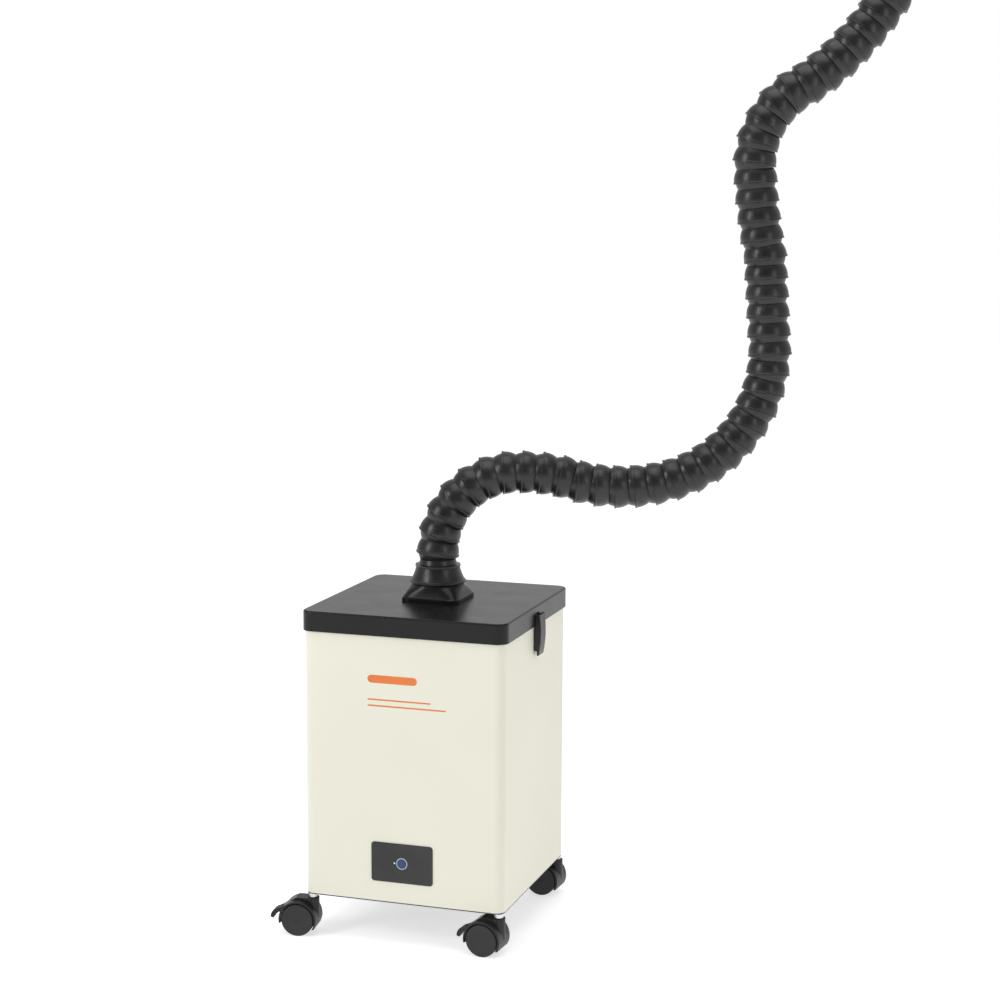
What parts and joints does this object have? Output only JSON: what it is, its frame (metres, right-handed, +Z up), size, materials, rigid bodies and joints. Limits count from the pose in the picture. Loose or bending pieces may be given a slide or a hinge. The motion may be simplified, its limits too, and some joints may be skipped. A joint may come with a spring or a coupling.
{
  "type": "solder fume extractor",
  "caption": "Square painted-steel filter cabinet on casters with a latched lid, a ball-and-socket duct arm and a round fume hood.",
  "frame": {"origin": "on the floor under the middle of the cabinet", "axes": "+Z up, -Y out of the front with the control panel, +X out of the right side; the arm leaves over the right side, 18.1 degrees towards the back"},
  "size_m": [0.9157, 0.4482, 1.3831],
  "materials": {
    "cream_paint": "fine satin powder coat",
    "black_steel": "satin",
    "zinc_steel": "zinc plated",
    "filter_fleece": "matt fleece",
    "filter_card": "matt",
    "filter_paper": "matt",
    "carbon_cassette": "matt",
    "housing_plastic": "satin",
    "motor_aluminium": "cast",
    "grille_plastic": "satin",
    "board_green": "solder mask",
    "pin_brass": "polished",
    "panel_black": "satin",
    "ring_light": "translucent",
    "indicator_white": "translucent",
    "button_blue": "gloss",
    "lid_black": "semi-gloss",
    "seal_foam": "foam",
    "latch_black": "satin",
    "arm_black": "semi-gloss",
    "caster_black": "satin",
    "wheel_black": "satin"
  },
  "bodies": {
    "cabinet": {"cabinet_shell": "cream_paint", "base_plate": "black_steel", "base_screws": "zinc_steel", "filter_deck": "zinc_steel", "pre_filter": "filter_fleece", "fine_filter": "filter_fleece", "hepa_frame": "filter_card", "hepa_pleats": "filter_paper", "carbon_filter": "carbon_cassette", "blower_housing": "housing_plastic", "motor": "motor_aluminium", "exhaust_grille": "grille_plastic", "power_board": "board_green", "control_board": "board_green", "inlet_socket": "grille_plastic", "inlet_pins": "pin_brass", "panel_fascia": "panel_black", "light_ring": "ring_light", "indicator_lens": "indicator_white", "latch_keepers": "zinc_steel", "caster_stems": "zinc_steel"},
    "impeller": {"impeller": "housing_plastic", "motor_shaft": "zinc_steel"},
    "power_button": {"power_button": "button_blue"},
    "lid": {"lid": "lid_black", "lid_seal": "seal_foam", "duct_flange": "lid_black", "flange_screws": "zinc_steel", "latch_brackets": "lid_black", "latch_pins": "zinc_steel"},
    "collar": {"duct_collar": "arm_black"},
    "left_latch": {"left_latch_lever": "latch_black"},
    "right_latch": {"right_latch_lever": "latch_black"},
    "arm_section_01": {"arm_section_01": "arm_black"},
    "arm_section_02": {"arm_section_02": "arm_black"},
    "arm_section_03": {"arm_section_03": "arm_black"},
    "arm_section_04": {"arm_section_04": "arm_black"},
    "arm_section_05": {"arm_section_05": "arm_black"},
    "arm_section_06": {"arm_section_06": "arm_black"},
    "arm_section_07": {"arm_section_07": "arm_black"},
    "arm_section_08": {"arm_section_08": "arm_black"},
    "arm_section_09": {"arm_section_09": "arm_black"},
    "arm_section_10": {"arm_section_10": "arm_black"},
    "hood": {"hood": "arm_black", "hood_grille": "arm_black"},
    "front_left_caster": {"front_left_caster_hood": "caster_black"},
    "front_left_wheels_body": {"front_left_wheels": "wheel_black", "front_left_axle": "zinc_steel"},
    "front_left_brake": {"front_left_brake_lever": "caster_black"},
    "front_right_caster": {"front_right_caster_hood": "caster_black"},
    "front_right_wheels_body": {"front_right_wheels": "wheel_black", "front_right_axle": "zinc_steel"},
    "front_right_brake": {"front_right_brake_lever": "caster_black"},
    "rear_left_caster": {"rear_left_caster_hood": "caster_black"},
    "rear_left_wheels_body": {"rear_left_wheels": "wheel_black", "rear_left_axle": "zinc_steel"},
    "rear_right_caster": {"rear_right_caster_hood": "caster_black"},
    "rear_right_wheels_body": {"rear_right_wheels": "wheel_black", "rear_right_axle": "zinc_steel"}
  },
  "joints": [
    {"name": "impeller_spin", "type": "hinge", "parent": "cabinet", "child": "impeller", "pos_m": [0, 0, 0.12], "axis": [0, 0, 1], "continuous": true},
    {"name": "power_button_press", "type": "slide", "parent": "cabinet", "child": "power_button", "axis": [0, 1, 0], "range_m": [0, 0.0008], "stiffness_N_per_m": 900, "springref_m": -0.0008},
    {"name": "lid_lift", "type": "slide", "parent": "cabinet", "child": "lid", "axis": [0, 0, 1], "range_m": [0, 0.15]},
    {"name": "right_latch_swing", "type": "hinge", "parent": "lid", "child": "right_latch", "pos_m": [0.1394, 0, 0.409], "axis": [0, -1, 0], "range_deg": [0, 80]},
    {"name": "left_latch_swing", "type": "hinge", "parent": "lid", "child": "left_latch", "pos_m": [-0.1394, 0, 0.409], "axis": [0, 1, 0], "range_deg": [0, 80]},
    {"name": "collar_swivel", "type": "hinge", "parent": "lid", "child": "collar", "pos_m": [0, 0, 0.4453], "axis": [0, 0, 1], "range_deg": [-180, 180]},
    {"name": "arm_joint_01_sway", "type": "hinge", "parent": "collar", "child": "arm_section_01", "pos_m": [0, 0, 0.486], "axis": [-0.9434, -0.3084, 0.1219], "range_deg": [-12.1, 12.1]},
    {"name": "arm_joint_02_bend", "type": "hinge", "parent": "arm_section_01", "child": "arm_section_02", "pos_m": [0.0608, 0.01987, 0.58083], "axis": [-0.3107, 0.9505, 0], "range_deg": [-27.5, 0.5]},
    {"name": "arm_joint_03_sway", "type": "hinge", "parent": "arm_section_02", "child": "arm_section_03", "pos_m": [0.17367, 0.05676, 0.57558], "axis": [0.1651, 0.0539, 0.9848], "range_deg": [-12.6, 12.6]},
    {"name": "arm_joint_04_bend", "type": "hinge", "parent": "arm_section_03", "child": "arm_section_04", "pos_m": [0.28735, 0.09392, 0.57976], "axis": [-0.3107, 0.9505, 0], "range_deg": [-6, 22]},
    {"name": "arm_joint_05_sway", "type": "hinge", "parent": "arm_section_04", "child": "arm_section_05", "pos_m": [0.37622, 0.12297, 0.65281], "axis": [-0.8393, -0.2743, 0.4695], "range_deg": [-11.5, 11.5]},
    {"name": "arm_joint_06_bend", "type": "hinge", "parent": "arm_section_05", "child": "arm_section_06", "pos_m": [0.39967, 0.13063, 0.76887], "axis": [-0.3107, 0.9505, 0], "range_deg": [-14, 14]},
    {"name": "arm_joint_07_sway", "type": "hinge", "parent": "arm_section_06", "child": "arm_section_07", "pos_m": [0.38867, 0.12704, 0.88915], "axis": [-0.9375, -0.3064, -0.165], "range_deg": [-13.9, 13.9]},
    {"name": "arm_joint_08_bend", "type": "hinge", "parent": "arm_section_07", "child": "arm_section_08", "pos_m": [0.38186, 0.12481, 1.00916], "axis": [-0.3107, 0.9505, 0], "range_deg": [-26.5, 1.5]},
    {"name": "arm_joint_09_sway", "type": "hinge", "parent": "arm_section_08", "child": "arm_section_09", "pos_m": [0.45816, 0.14975, 1.09508], "axis": [-0.6236, -0.2038, 0.7547], "range_deg": [-13.1, 13.1]},
    {"name": "arm_joint_10_bend", "type": "hinge", "parent": "arm_section_09", "child": "arm_section_10", "pos_m": [0.53395, 0.17452, 1.18552], "axis": [-0.3107, 0.9505, 0], "range_deg": [-11, 17]},
    {"name": "hood_tilt", "type": "hinge", "parent": "arm_section_10", "child": "hood", "pos_m": [0.61297, 0.20035, 1.27161], "axis": [-0.3107, 0.9505, 0], "range_deg": [-20, 8]},
    {"name": "front_left_caster_swivel", "type": "hinge", "parent": "cabinet", "child": "front_left_caster", "pos_m": [-0.1255, -0.1255, 0.045], "axis": [0, 0, 1], "continuous": true},
    {"name": "front_left_wheel_roll", "type": "hinge", "parent": "front_left_caster", "child": "front_left_wheels_body", "pos_m": [-0.14194, -0.12781, 0.021], "axis": [-0.1392, 0.9903, 0], "continuous": true},
    {"name": "front_left_brake_press", "type": "hinge", "parent": "front_left_caster", "child": "front_left_brake", "pos_m": [-0.16706, -0.13134, 0.03024], "axis": [0.1392, -0.9903, 0], "range_deg": [0, 12]},
    {"name": "front_right_caster_swivel", "type": "hinge", "parent": "cabinet", "child": "front_right_caster", "pos_m": [0.1255, -0.1255, 0.045], "axis": [0, 0, 1], "continuous": true},
    {"name": "front_right_wheel_roll", "type": "hinge", "parent": "front_right_caster", "child": "front_right_wheels_body", "pos_m": [0.10894, -0.12434, 0.021], "axis": [0.0698, 0.9976, 0], "continuous": true},
    {"name": "front_right_brake_press", "type": "hinge", "parent": "front_right_caster", "child": "front_right_brake", "pos_m": [0.08363, -0.12257, 0.03024], "axis": [-0.0698, -0.9976, 0], "range_deg": [0, 12]},
    {"name": "rear_left_caster_swivel", "type": "hinge", "parent": "cabinet", "child": "rear_left_caster", "pos_m": [-0.1255, 0.1255, 0.045], "axis": [0, 0, 1], "continuous": true},
    {"name": "rear_left_wheel_roll", "type": "hinge", "parent": "rear_left_caster", "child": "rear_left_wheels_body", "pos_m": [-0.14206, 0.12666, 0.021], "axis": [0.0698, 0.9976, 0], "continuous": true},
    {"name": "rear_right_caster_swivel", "type": "hinge", "parent": "cabinet", "child": "rear_right_caster", "pos_m": [0.1255, 0.1255, 0.045], "axis": [0, 0, 1], "continuous": true},
    {"name": "rear_right_wheel_roll", "type": "hinge", "parent": "rear_right_caster", "child": "rear_right_wheels_body", "pos_m": [0.10894, 0.12666, 0.021], "axis": [0.0698, 0.9976, 0], "continuous": true}
  ]
}
